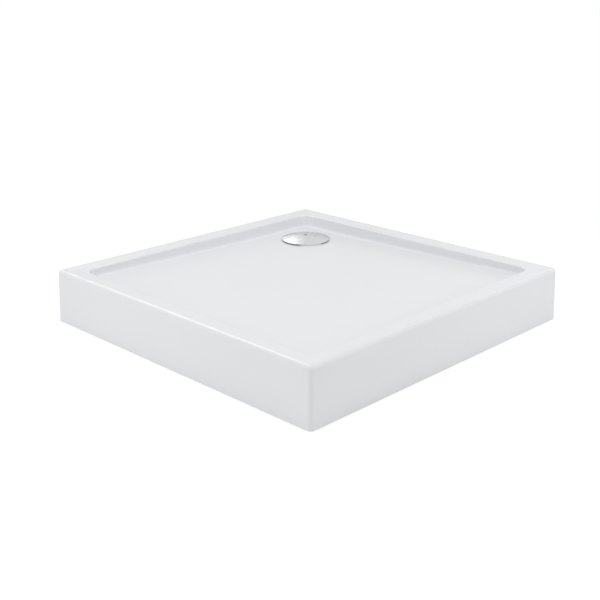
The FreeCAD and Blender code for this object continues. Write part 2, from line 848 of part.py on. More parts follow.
def outlet_spigot():
    """A pipe whose ball end swings in the trap's boss."""
    zone = ball("spigot_ball", "ball_dia / 2")
    bind(zone, Angle1="-asin(2 * ball_back / ball_dia)", Angle2="acos(pipe_dia / ball_dia)")
    pipe = cylinder("spigot_pipe", "pipe_dia / 2", "pipe_length")
    bore = cylinder("spigot_bore", "pipe_dia / 2 - pipe_wall", "pipe_length + ball_dia", z="-ball_dia / 2")
    return at_outlet(cut("outlet_spigot", fuse("spigot_solid", [zone, pipe]), bore))


def outlet_seal():
    """The wedge-shaped ring between the ball and the bottom of the boss."""
    bottom = "-seal_back"
    outer = cylinder("seal_outer", "boss_dia / 2 - boss_wall", "seal_back - seal_front", z=bottom)
    inner = cylinder("seal_inner", "ball_throat / 2", "seal_back", z=bottom)
    hollow_ball = ball("seal_ball", "ball_dia / 2 + gap")
    return at_outlet(cut("outlet_seal", outer, fuse("seal_cuts", [inner, hollow_ball])))


def outlet_cap():
    """The ribbed cap that screws over the boss and holds the ball in."""
    body = at_outlet(new_body("outlet_cap"))
    outer = "(boss_dia / 2 + thread_play + cap_wall)"
    inner = "(boss_dia / 2 + thread_play)"
    turned(body, "Revolution", [
        (inner, "-cap_back"),
        (f"{outer} - cap_edge", "-cap_back"),
        (outer, "-cap_back + cap_edge"),
        (outer, "cap_front - cap_taper"),
        (f"{outer} - cap_step", "cap_front"),
        ("cap_mouth / 2", "cap_front"),
        ("cap_mouth / 2", "cap_front - cap_lip"),
        (inner, "-boss_end + gap"),
    ])
    doc.recompute()
    rib = outline(sketch(body, "XY_Plane", "-cap_back + cap_edge"), [
        (f"{outer} - cap_edge", "-cap_rib"),
        (f"{outer} + cap_rib", "-cap_rib / 2"),
        (f"{outer} + cap_rib", "cap_rib / 2"),
        (f"{outer} - cap_edge", "cap_rib"),
    ])
    ridge = feature(body, "Pad", "cap_ridge", rib, Length="cap_back + cap_front - cap_taper - 2 * cap_edge")
    doc.recompute()
    repeat(body, ridge, "cap_ridges", "cap_ribs")
    return body


# The whole tray, piece by piece.

under_shell = hollow("under_shell", "shell_wall")
under_backing = hollow("under_backing", "(shell_wall + backing_wall)")
cover_inside = dome_space("cover_inside", "cover_wall", f"({DIP_COLLAR_TOP} - gap)")

sub_parts = [
    tray_shell(under_shell),
    glass_fibre_backing(under_shell, under_backing),
    floor_board(),
    foot_blocks(),
    at_feet("foot_plates", foot_plate),
    plate_screws(),
    nuts("weld_nuts", WELD_NUT_BOTTOM, "nut_tall"),
    nuts("lock_nuts", LOCK_NUT_BOTTOM, "lock_nut_tall"),
    waste_flange(),
    ring("flange_gasket", f"{SLEEVE} + gap", "flange_dia / 2 - gasket_inset", SEAT, f"{SEAT} + rim_gasket"),
    ring("body_gasket", f"{SLEEVE} + gap", "trap_flange_dia / 2 - gasket_inset",
         f"{BACKING_UNDER} - body_gasket_thick", BACKING_UNDER),
    trap_body(),
    ring("trap_weir", "weir_dia / 2 - weir_wall", "weir_dia / 2", POT_FLOOR, "weir_top"),
    outlet_seal(),
    outlet_cap(),
    outlet_spigot(),
    dip_tube(),
    dip_tube_o_ring(),
    hair_strainer(),
    drain_cover(cover_inside),
    cover_clip(cover_inside),
]
for foot, (x, y) in enumerate(FEET, 1):
    sub_parts.append(foot_pad(foot, x, y))
    sub_parts.append(foot_rod(foot, x, y))

doc.recompute()

for thing in doc.Objects:
    if "Invalid" in thing.State or "Error" in thing.State:
        raise RuntimeError(f"{thing.Name} failed: {thing.State}")
for piece in sub_parts:
    if piece.Shape.isNull() or not piece.Shape.isValid() or not piece.Shape.Solids:
        raise RuntimeError(f"{piece.Label} has no sound solid")

os.makedirs("parts", exist_ok=True)
for piece in sub_parts:
    piece.Shape.exportStep(f"parts/{piece.Label}.step")
print(len(sub_parts), "sub-parts")
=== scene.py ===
import math

import bmesh
import bpy
import numpy as np
from mathutils import Matrix, Vector


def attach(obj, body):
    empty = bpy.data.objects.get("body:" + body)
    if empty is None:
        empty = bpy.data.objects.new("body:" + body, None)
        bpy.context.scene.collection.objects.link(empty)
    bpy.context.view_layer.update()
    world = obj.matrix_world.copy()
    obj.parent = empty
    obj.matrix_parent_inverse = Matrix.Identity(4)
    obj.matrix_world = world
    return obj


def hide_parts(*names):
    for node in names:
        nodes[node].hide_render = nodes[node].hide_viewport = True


# A square white shower tray on screw feet, with a brushed chrome dome over its corner waste.
# Sizes are in millimetres and angles in degrees until a mesh is made, which is in metres.

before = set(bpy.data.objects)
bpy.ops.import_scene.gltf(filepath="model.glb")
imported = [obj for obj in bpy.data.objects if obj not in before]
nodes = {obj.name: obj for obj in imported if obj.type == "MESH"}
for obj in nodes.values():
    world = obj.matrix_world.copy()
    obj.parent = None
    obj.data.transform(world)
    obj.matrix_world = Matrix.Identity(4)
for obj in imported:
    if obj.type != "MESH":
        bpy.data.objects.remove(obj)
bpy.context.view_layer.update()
MM = 0.001

# The shell. Rounds, holes and the recess are given by their radii.
SIDE = 800
HEIGHT = 121
APRON_FOOT = 1
APRON_LEAN = 4
APRON_SLOPE = APRON_LEAN / (HEIGHT - APRON_FOOT)
CORNER_ROUND = 9
RIM_ROUND = 8.5
RIM_WIDTH = 44
LEDGE_FALL = 2.4
WELL_DEPTH = 32
WELL_ROUND = 3.5
WELL_LEAN = 9
WELL_CORNER = 25
WELL_COVE = 9
FLOOR_FALL = 0.02
WASTE_INSET = 148.5
WASTE = np.array([SIDE / 2 - WASTE_INSET] * 2)
WASTE_HOLE = 45
RECESS = 56
RECESS_DEPTH = 3.5
RECESS_SLOPE = 1.5
SHELL_WALL = 4

# The dome's lifting hole, and the way that its brush lines run.
COVER_HOLE = 3.75
BRUSHED_ALONG = -45

# The feet: three far from the waste, and one on each side of it.
FOOT_INSET = 160
FAR = SIDE / 2 - FOOT_INSET
NEAR = FAR - FOOT_INSET
FEET = [(-FAR, -FAR), (FAR, -FAR), (-FAR, FAR), (FAR, NEAR), (NEAR, FAR)]


# Node trees.

class Socket:
    """A socket whose arithmetic adds Math nodes."""

    def __init__(self, link):
        self.link = link
        self.tree = link.id_data

    def maths(self, operation, *values, clamp=False):
        node = self.tree.nodes.new("ShaderNodeMath")
        node.operation = operation
        node.use_clamp = clamp
        for place, value in enumerate(values):
            wire(self.tree, node.inputs[place], value)
        return Socket(node.outputs[0])

    def __add__(self, other):
        return self.maths("ADD", self, other)

    def __radd__(self, other):
        return self.maths("ADD", other, self)

    def __sub__(self, other):
        return self.maths("SUBTRACT", self, other)

    def __rsub__(self, other):
        return self.maths("SUBTRACT", other, self)

    def __mul__(self, other):
        return self.maths("MULTIPLY", self, other)

    def __rmul__(self, other):
        return self.maths("MULTIPLY", other, self)

    def __truediv__(self, other):
        return self.maths("DIVIDE", self, other)

    def __pow__(self, other):
        return self.maths("POWER", self, other)

    def above(self, other):
        return self.maths("GREATER_THAN", self, other)

    def held(self):
        """Kept between nought and one."""
        return self.maths("ADD", self, 0.0, clamp=True)

    def step(self, low, high):
        """Nought below low, one above high, and smooth between."""
        node = self.tree.nodes.new("ShaderNodeMapRange")
        node.interpolation_type = "SMOOTHSTEP"
        wire(self.tree, node.inputs["Value"], self)
        node.inputs["From Min"].default_value = low
        node.inputs["From Max"].default_value = high
        return Socket(node.outputs["Result"])


def wire(tree, socket, value):
    """Link a socket, or set it to a plain value."""
    if isinstance(value, Socket):
        tree.links.new(value.link, socket)
    else:
        socket.default_value = value


class Tree:
    """A node tree that is being built."""

    def __init__(self, tree):
        self.tree = tree

    def node(self, kind, settings=(), sockets=(), out=0):
        made = self.tree.nodes.new(kind)
        for name, value in dict(settings).items():
            setattr(made, name, value)
        for name, value in dict(sockets).items():
            wire(self.tree, made.inputs[name], value)
        return Socket(made.outputs[out]) if made.outputs else None

    def part(self, vector, axis):
        """One of a vector's three parts."""
        return self.node("ShaderNodeSeparateXYZ", {}, {"Vector": vector}, out=axis)


class Finish(Tree):
    """A material, built on the object's own coordinates."""

    def __init__(self, name):
        self.material = bpy.data.materials.new(name)
        self.material.use_nodes = True
        super().__init__(self.material.node_tree)
        self.tree.nodes.clear()
        self.place = self.node("ShaderNodeTexCoord", out="Object")

    def scaled(self, x, y, z, turn=(0, 0, 0)):
        """Coordinates for a pattern that is finer by x, y and z along its own axes, which are turned."""
        return self.node("ShaderNodeMapping", {"vector_type": "TEXTURE"}, {
            "Vector": self.place, "Scale": (1 / x, 1 / y, 1 / z), "Rotation": turn})

    def noise(self, scale, detail=3, rough=0.5, place=None):
        return self.node("ShaderNodeTexNoise", {}, {
            "Vector": place or self.place, "Scale": scale, "Detail": detail, "Roughness": rough})

    def streaks(self, finer, turn=(0, 0, 0), detail=3, rough=0.5):
        """Noise that is finer by three amounts along its own axes, which are turned."""
        return self.noise(1, detail, rough, self.scaled(*finer, turn))

    def cells(self, scale, place, channel):
        """A random level for each cell: one channel of its random colour."""
        colour = self.node("ShaderNodeTexVoronoi", {"feature": "F1"}, {"Vector": place, "Scale": scale},
                           out="Color")
        return self.node("ShaderNodeSeparateColor", {}, {"Color": colour}, out=channel)

    def mix(self, share, under, over):
        return self.node("ShaderNodeMix", {"data_type": "RGBA"}, {0: share, 6: under, 7: over}, out=2)

    def ramp(self, share, *stops):
        """A colour that changes through stops of (place, colour)."""
        made = self.tree.nodes.new("ShaderNodeValToRGB")
        elements = made.color_ramp.elements
        while len(elements) < len(stops):
            elements.new(1)
        for element, (place, colour) in zip(elements, stops):
            element.position = place
            element.color = (*colour, 1)
        wire(self.tree, made.inputs["Fac"], share)
        return Socket(made.outputs["Color"])

    def bump(self, height, distance, strength):
        return self.node("ShaderNodeBump", {}, {
            "Height": height, "Distance": distance, "Strength": strength})

    def made(self, **looks):
        """The finished material; a space in a socket's name is an underscore here."""
        sockets = {name.replace("_", " "): value for name, value in looks.items()}
        shader = self.node("ShaderNodeBsdfPrincipled", {}, sockets)
        self.node("ShaderNodeOutputMaterial", {}, {"Surface": shader})
        return self.material


def grey(level):
    return (level, level, level, 1)


def rgb(red, green, blue):
    return (red, green, blue, 1)


def white_acrylic():
    """Glossy white sheet, drawn a little wavy, with a faint cool cast."""
    finish = Finish("white_acrylic")
    cloud = finish.noise(3.5, 2)
    fine = finish.noise(160, 2)
    waves = finish.noise(9, 1)
    return finish.made(
        Base_Color=finish.mix(cloud, rgb(0.832, 0.846, 0.868), rgb(0.846, 0.858, 0.878)),
        Roughness=0.20 + 0.05 * finish.noise(22, 3),
        Normal=finish.bump(waves + 0.02 * fine, 0.0004, 0.5),
        IOR=1.49,
    )


def brushed_chrome():
    """Chrome with fine straight brush lines. Its underside and its hole's wall are painted near black and
    dull, a painted shade for the gap under the lip and down the hole.
    """
    finish = Finish("brushed_chrome")
    lines = (0, 0, math.radians(BRUSHED_ALONG))
    fine = finish.streaks((40, 1300, 40), lines, 3, 0.6)
    wide = finish.streaks((20, 420, 20), lines, 2)
    facing = finish.node("ShaderNodeNewGeometry", out="True Normal")
    under = 1 - finish.part(facing, 2).step(-0.6, -0.3)
    across, along = (finish.part(finish.place, axis) - WASTE[axis] * MM for axis in (0, 1))
    from_middle = (across * across + along * along) ** 0.5
    in_hole = 1 - from_middle.step((COVER_HOLE + 0.1) * MM, (COVER_HOLE + 0.4) * MM)
    # Painted shade: the underside and the hole's wall are near black, dull and not metal, to darken the gap
    # under the lip and the hole.
    painted_shade = (under + in_hole).held()
    plated = finish.mix(wide, rgb(0.61, 0.62, 0.63), rgb(0.67, 0.67, 0.68))
    return finish.made(
        Base_Color=finish.mix(painted_shade, plated, grey(0.04)),
        Metallic=1 - painted_shade,
        Roughness=0.15 + 0.06 * fine + 0.4 * painted_shade,
        Normal=finish.bump(fine, 0.0006, 0.7),
    )


def bright_chrome():
    """Plain bright plating, with a breath of haze."""
    finish = Finish("bright_chrome")
    haze = finish.noise(45, 3)
    return finish.made(
        Base_Color=finish.mix(haze, rgb(0.72, 0.73, 0.74), rgb(0.80, 0.81, 0.82)),
        Metallic=1.0,
        Roughness=0.06 + 0.10 * haze,
    )


def sprayed_glass_fibre():
    """Chopped strands, thrown every way, wetted out in pale green resin."""
    finish = Finish("sprayed_glass_fibre")
    strands = 0.0
    for layer, (degrees, tilt) in enumerate([(8, 20), (52, -35), (97, 60), (141, -15), (171, 75)]):
        turn = (math.radians(tilt), math.radians(tilt * 0.7), math.radians(degrees))
        streak = finish.streaks((22, 420 + 20 * layer, 420), turn, 2)
        strands = streak.step(0.56, 0.66) + strands
    lumps = finish.noise(42, 4, 0.6)
    resin = finish.mix(lumps, rgb(0.46, 0.49, 0.38), rgb(0.64, 0.66, 0.54))
    return finish.made(
        Base_Color=finish.mix((strands * 0.55).held(), resin, rgb(0.80, 0.81, 0.74)),
        Roughness=0.30 + 0.35 * lumps,
        Normal=finish.bump(strands * 0.35 + lumps * 1.4, 0.0016, 0.9),
        Coat_Weight=0.25,
        Coat_Roughness=0.25,
    )


def chipboard():
    """Pressed wood chips, coarse and every way up."""
    finish = Finish("chipboard")
    warp = finish.noise(60, 3)
    chips = finish.cells(170, finish.scaled(1, 0.55, 1.4, (0, 0, 0.6)), channel=0)
    slivers = finish.cells(210, finish.scaled(0.4, 1.2, 1.4, (0, 0, -0.4)), channel=1)
    wood = finish.ramp((chips * 0.5 + slivers * 0.35 + warp * 0.25).held(),
                       (0.15, (0.20, 0.12, 0.06)), (0.4, (0.44, 0.30, 0.17)),
                       (0.62, (0.60, 0.45, 0.28)), (0.9, (0.74, 0.61, 0.42)))
    return finish.made(
        Base_Color=wood,
        Roughness=0.72 + 0.2 * warp,
        Normal=finish.bump(chips * 0.5 + slivers * 0.4 + warp * 0.5, 0.0006, 0.8),
    )


def plywood():
    """Plies whose edges show as bands, lighter and darker by turns."""
    finish = Finish("plywood")
    two_plies = 0.0052
    wander = finish.noise(25, 2) * 0.0012
    phase = (finish.part(finish.place, 2) + wander) * (2 * math.pi / two_plies)
    band = phase.maths("SINE", phase).step(-0.25, 0.25)
    along = finish.streaks((18, 260, 500), detail=5, rough=0.65)
    across = finish.streaks((260, 18, 500), detail=5, rough=0.65)
    grain = band * along + (1 - band) * across
    wood = finish.ramp((grain * 0.8 + band * 0.2).held(),
                       (0.2, (0.36, 0.22, 0.11)), (0.5, (0.62, 0.45, 0.27)), (0.8, (0.78, 0.62, 0.42)))
    return finish.made(
        Base_Color=wood,
        Roughness=0.62 + 0.25 * grain,
        Normal=finish.bump(grain + band * 0.4, 0.0004, 0.6),
    )


def zinc_plate():
    """Bright zinc with faint blue and straw patches and small scuffs."""
    finish = Finish("zinc_plate")
    patches = finish.noise(55, 3)
    scuffs = finish.streaks((900, 120, 400), (0.3, 0.2, 0.9), 4, 0.7)
    tint = finish.mix(patches, rgb(0.58, 0.61, 0.66), rgb(0.72, 0.70, 0.62))
    return finish.made(
        Base_Color=finish.mix(scuffs.step(0.55, 0.75) * 0.4, tint, grey(0.78)),
        Metallic=1.0,
        Roughness=0.24 + 0.22 * scuffs,
        Normal=finish.bump(scuffs + patches * 0.3, 0.00006, 0.6),
    )


def moulded(name, dark, light, rough, texture=1.0):
    """Moulded plastic with a fine spark-eroded skin and faint flow clouds."""
    finish = Finish(name)
    flow = finish.noise(30, 3)
    skin = finish.noise(1400, 2)
    return finish.made(
        Base_Color=finish.mix(flow, dark, light),
        Roughness=rough + 0.14 * finish.noise(260, 2),
        Normal=finish.bump(skin + flow * 0.5, 0.00005 * texture, 0.7),
    )


def seal_rubber():
    """Matt black rubber with a dusty bloom."""
    finish = Finish("seal_rubber")
    bloom = finish.noise(70, 4, 0.6)
    return finish.made(
        Base_Color=finish.mix(bloom.step(0.45, 0.8), grey(0.022), grey(0.060)),
        Roughness=0.62 + 0.25 * bloom,
        Normal=finish.bump(finish.noise(900, 2), 0.00005, 0.6),
    )


ACRYLIC = white_acrylic()
DOME = brushed_chrome()
CHROME = bright_chrome()
GLASS_FIBRE = sprayed_glass_fibre()
CHIPBOARD = chipboard()
PLYWOOD = plywood()
ZINC = zinc_plate()
TRAP_PLASTIC = moulded("trap_plastic", rgb(0.78, 0.79, 0.79), rgb(0.84, 0.845, 0.84), 0.34)
INSERT_PLASTIC = moulded("insert_plastic", rgb(0.33, 0.34, 0.35), rgb(0.40, 0.41, 0.42), 0.36)
STRAINER_PLASTIC = moulded("strainer_plastic", rgb(0.70, 0.71, 0.72), rgb(0.78, 0.79, 0.80), 0.32)
FOOT_PLASTIC = moulded("foot_plastic", grey(0.028), rgb(0.050, 0.050, 0.054), 0.45, 2.0)
RUBBER = seal_rubber()

WORN_BY = {
    "glass_fibre_backing": GLASS_FIBRE,
    "floor_board": CHIPBOARD,
    "foot_blocks": PLYWOOD,
    "foot_plates": ZINC,
    "waste_flange": CHROME,
    "flange_gasket": RUBBER,
    "body_gasket": RUBBER,
    "outlet_seal": RUBBER,
    "dip_tube_o_ring": RUBBER,
    "trap_body": TRAP_PLASTIC,
    "trap_weir": TRAP_PLASTIC,
    "outlet_cap": TRAP_PLASTIC,
    "outlet_spigot": TRAP_PLASTIC,
    "dip_tube": INSERT_PLASTIC,
    "cover_clip": INSERT_PLASTIC,
    "hair_strainer": STRAINER_PLASTIC,
}
for name, material in WORN_BY.items():
    mesh = nodes[name].data
    mesh.materials.clear()
    mesh.materials.append(material)


# Meshes.

def mesh_piece(name, points, faces, material, sharp=35):
    """An object from points in millimetres, smooth but for its sharp edges, with its faces outward."""
    mesh = bpy.data.meshes.new(name)
    mesh.from_pydata([tuple(MM * v for v in point) for point in points], [], faces)
    work = bmesh.new()
    work.from_mesh(mesh)
    bmesh.ops.remove_doubles(work, verts=work.verts, dist=1e-7)
    bmesh.ops.recalc_face_normals(work, faces=work.faces)
    work.to_mesh(mesh)
    work.free()
    mesh.polygons.foreach_set("use_smooth", [True] * len(mesh.polygons))
    mesh.set_sharp_from_angle(angle=math.radians(sharp))
    mesh.materials.append(material)
    piece = bpy.data.objects.new(name, mesh)
    bpy.context.scene.collection.objects.link(piece)
    return piece


def ride(piece, body, node):
    """Let a piece ride on a body and stand for a CAD node, which is hidden."""
    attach(piece, body)
    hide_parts(node)


def strips(rings, close_rings=False):
    """Points and faces of a skin through rings of points, each ring closed on itself."""
    count = len(rings[0])
    points = [point for ring in rings for point in ring]
    faces = []
    for row in range(len(rings) if close_rings else len(rings) - 1):
        here, there = row * count, (row + 1) % len(rings) * count
        for column in range(count):
            after = (column + 1) % count
            faces.append((here + column, here + after, there + after, there + column))
    return points, faces


def rounded(corner, back, ahead, radius, steps):
    """An arc that rounds a corner of a profile between its neighbours back and ahead."""
    corner, back, ahead = (np.array(point, float) for point in (corner, back, ahead))
    one = (back - corner) / np.linalg.norm(back - corner)
    two = (ahead - corner) / np.linalg.norm(ahead - corner)
    half = math.acos(np.clip(one @ two, -1, 1)) / 2
    middle = corner + (one + two) / np.linalg.norm(one + two) * radius / math.sin(half)
    start = corner + one * radius / math.tan(half)
    end = corner + two * radius / math.tan(half)
    sweep = math.pi - 2 * half
    out = []
    for step in range(steps + 1):
        share = step / steps
        first = math.sin((1 - share) * sweep) / math.sin(sweep)
        second = math.sin(share * sweep) / math.sin(sweep)
        out.append(tuple(middle + first * (start - middle) + second * (end - middle)))
    return out


def profile(corners, steps=6):
    """A profile from corners given as (across, up) or (across, up, radius of its rounding)."""
    out = []
    for index, corner in enumerate(corners):
        back, ahead = corners[index - 1], corners[(index + 1) % len(corners)]
        if len(corner) == 2:
            out.append(corner)
        else:
            out += rounded(corner[:2], back[:2], ahead[:2], corner[2], steps)
    return out


def lathe(outline, around, middle=(0, 0), closed=True):
    """Points and faces of an outline of (radius, height) turned about an upright axis. One that isn't
    closed starts and ends on the axis."""
    rings = []
    for radius, height in outline:
        ring = []
        for step in range(around):
            angle = 2 * math.pi * step / around
            ring.append((middle[0] + radius * math.cos(angle), middle[1] + radius * math.sin(angle), height))
        rings.append(ring)
    return strips(rings, close_rings=closed)


def joined(*parts):
    """Points and faces of several skins together."""
    points, faces = [], []
    for more_points, more_faces in parts:
        base = len(points)
        points += list(more_points)
        faces += [tuple(base + index for index in face) for face in more_faces]
    return points, faces


# The acrylic shell.

def places_round_tray():
    """Where the shell's rings have their points: the line of each from the tray's middle, and its outward
    normal. They lie close together where the waste is near."""
    lines, normals = [], []
    # About where the well's wall stands, which is near enough to space the points by.
    wall = SIDE / 2 - 50
    widest_turn, longest_stride, corner_steps = math.radians(2.2), 26, 16
    for side in range(4):
        angle = math.radians(90 * side)
        out = np.array([math.cos(angle), math.sin(angle)])
        along = np.array([-out[1], out[0]])
        shares = np.linspace(-1, 1, 801)
        spots = out * wall + along * shares[:, None] * (wall - WELL_CORNER)
        turns = np.unwrap(np.arctan2(*(spots - WASTE).T[::-1]))
        strides = np.linalg.norm(np.diff(spots, axis=0), axis=1)
        effort = np.abs(np.diff(turns)) / widest_turn + strides / longest_stride
        total = np.concatenate([[0], np.cumsum(effort)])
        chosen = np.interp(np.linspace(0, total[-1], int(total[-1]) + 2), total, shares)[1:-1]
        for share in chosen:
            lines.append(out + along * share)
            normals.append(out)
        for step in range(corner_steps + 1):
            turn = angle + math.radians(90 * step / corner_steps)
            lines.append(out + along)
            normals.append(np.array([math.cos(turn), math.sin(turn)]))
    return np.array(lines), np.array(normals)


def acrylic_shell():
    """One even wall, from the apron's foot over the rim, down the well and across its falling floor into
    the waste hole, and back along its underside."""
    lines, normals = places_round_tray()
    lean = math.radians(WELL_LEAN)
    draw = math.tan(lean)

    def loop(half, corner, height):
        """A ring along a rounded square, from half its side, the radius of its corners and its height."""
        flat = lines * (np.asarray(half, float).reshape(-1, 1) - corner) + normals * corner
        return np.column_stack([flat, np.broadcast_to(height, len(lines))])

    def face(inset, rim_round, mouth_round, fine):
        """The rings of the face that shows, or with an inset, of the one that lies so far behind it."""
        top = HEIGHT - inset
        foot = SIDE / 2 - inset
        corner = max(CORNER_ROUND - inset, 0.5)
        well_corner = WELL_CORNER + inset
        wall_top = SIDE / 2 - APRON_LEAN - RIM_WIDTH + inset / math.cos(lean) - inset * draw
        round_steps, mouth_steps = (12, 10) if fine else (3, 2)

        def apron(height):
            return foot - (height - APRON_FOOT) * APRON_SLOPE

        def wall(height):
            return wall_top - (top - height) * draw

        # Up the apron and round the rim.
        flat_top = top - rim_round - 2
        levels = [APRON_FOOT, 3, 40, 80, flat_top] if fine else [APRON_FOOT, flat_top]
        rings = [loop(apron(height), corner, height) for height in levels]
        for half, height in rounded((apron(top), top), (foot, APRON_FOOT), (0, top), rim_round, round_steps):
            drawn_in = apron(height) - half
            rings.append(loop(half, max(corner - drawn_in, 0.4), height))

        # Across the ledge and round the well's mouth.
        ledge = top - LEDGE_FALL
        turn_down = wall_top - LEDGE_FALL * draw
        mouth = rounded((turn_down, ledge), (turn_down + RIM_WIDTH, top),
                        (turn_down - draw * 10, ledge - 10), mouth_round, mouth_steps)
        lip, lip_height = mouth[0]
        rim_edge, lip_ring = rings[-1], loop(lip, well_corner + lip - wall_top, lip_height)
        for share in (0.02, 0.1, 0.5, 0.9, 0.98) if fine else (0.5,):
            rings.append(rim_edge + (lip_ring - rim_edge) * share)
        for half, height in mouth:
            stood_off = half - wall(height)
            rings.append(loop(half, well_corner + stood_off, height))

        # The floor is a cone about the waste. It starts at the recess's upper edge, and far away it is as
        # high as if it fell evenly to the recess itself.
        recess = RECESS + inset
        recess_edge = recess + RECESS_SLOPE
        floor = HEIGHT - WELL_DEPTH - inset
        far = 2 * SIDE
        fall = FLOOR_FALL * (far - RECESS) / (far - recess_edge)

        def floor_height(flat):
            return floor + fall * (np.linalg.norm(flat - WASTE, axis=1) - recess_edge)

        # Down the wall and round the cove. The cove's heart runs a radius away from the wall and from the
        # floor, and its height at each point is found by a few rounds of closing in on it.
        cove = WELL_COVE + inset
        off_wall, above_touch = cove * math.cos(lean), cove * math.sin(lean)
        heart = np.full(len(lines), floor + cove + 5.0)
        for _ in range(8):
            touch = loop(wall(heart - above_touch), well_corner, 0)[:, :2]
            middle = touch - normals * off_wall
            away = middle - WASTE
            slope = -fall * (away * normals).sum(1) / np.linalg.norm(away, axis=1)
            heart = floor_height(middle) + cove * np.sqrt(1 + slope ** 2)
        mouth_bottom = mouth[-1][1]
        for share in (0.5, 0.9) if fine else ():
            height = mouth_bottom + (heart - above_touch - mouth_bottom) * share
            rings.append(loop(wall(height), well_corner, height))
        floor_turn = np.arctan2(1, -slope)
        for step in range(round_steps + 1):
            angle = lean + (floor_turn - lean) * step / round_steps
            flat = touch - normals * (off_wall - cove * np.cos(angle))[:, None]
            rings.append(np.column_stack([flat, heart - cove * np.sin(angle)]))

        # Down the floor, over the recess's edge and into the waste hole.
        start = rings[-1][:, :2]
        outward = (start - WASTE) / np.linalg.norm(start - WASTE, axis=1)[:, None]
        end = WASTE + outward * (recess_edge + 1)
        for share in (0.004, 0.03, 0.12, 0.3, 0.5, 0.7, 0.88, 0.97, 1) if fine else (0.5, 1):
            flat = start + (end - start) * share
            rings.append(np.column_stack([flat, floor_height(flat)]))
        seat = floor - RECESS_DEPTH
        way_in, way_out = (recess + 20, floor + 18 * fall), (WASTE_HOLE, seat - 10)
        hole = [way_in, (recess_edge, floor, 0.7), (recess, seat, 0.7),
                (WASTE_HOLE, seat, 0.4 if fine else 0.1), way_out]
        for radius, height in profile(hole, 3)[1:-1]:
            rings.append(np.column_stack([WASTE + outward * radius, np.full(len(lines), height)]))
        return rings

    above = face(0, RIM_ROUND, WELL_ROUND, True)
    below = face(SHELL_WALL, RIM_ROUND - SHELL_WALL, 0.5, False)
    rings = [ring.tolist() for ring in above + below[::-1]]
    shell = mesh_piece("acrylic_shell", *strips(rings, close_rings=True), ACRYLIC, sharp=50)
    ride(shell, "root", "tray_shell")


acrylic_shell()


# The dome over the waste.

def waste_dome():
    """A pressed round dome: a lip that leans in a little and reaches down to the floor at three wide feet,
    a small rounded edge, a shallow crown and a lifting hole. The lip's feet are given by their lower end,
    by the degrees that half of one and its slanting side take up, and by the first one's place in
    degrees."""
    lip, bottom, wall, rise, hole = 61.75, 91.2, 1.2, 8.5, COVER_HOLE
    foot_end, foot_half, foot_side, first_foot = 89.12, 28, 3, 238
    between_feet = 120
    edge_height = 1.5
    radius = (lip ** 2 + rise ** 2) / 2 / rise
    crown = bottom + edge_height + rise

    def cap(across, inset):
        return crown - radius + math.sqrt((radius - inset) ** 2 - across ** 2)

    outline = profile([(lip - wall, bottom), (lip, bottom, 0.2), (lip - 0.35, cap(lip, 0), 0.9),
                       (lip - 6, cap(lip - 6, 0))], 5)
    outline += [(across, cap(across, 0)) for across in np.linspace(lip - 8, hole + 1.6, 22)]
    outline += profile([(hole + 2, cap(hole + 2, 0)), (hole, cap(hole, 0), 0.6),
                        (hole, cap(hole, wall), 0.1), (hole + 2, cap(hole + 2, wall))], 4)[1:-1]
    outline += [(across, cap(across, wall)) for across in np.linspace(hole + 2, lip - wall, 16)]
    points, faces = lathe(outline, 240, WASTE)
    for index, (across, along, height) in enumerate(points):
        if height < bottom + 0.3:
            angle = math.degrees(math.atan2(along - WASTE[1], across - WASTE[0]))
            off = abs((angle - first_foot + between_feet / 2) % between_feet - between_feet / 2)
            drop = min(max((foot_half - off) / foot_side, 0), 1) * (bottom - foot_end)
            points[index] = (across, along, height - drop)
    dome = mesh_piece("waste_dome", points, faces, DOME, sharp=60)
    ride(dome, "dome", "drain_cover")


waste_dome()


# What repeats: threads, screws and ribs.

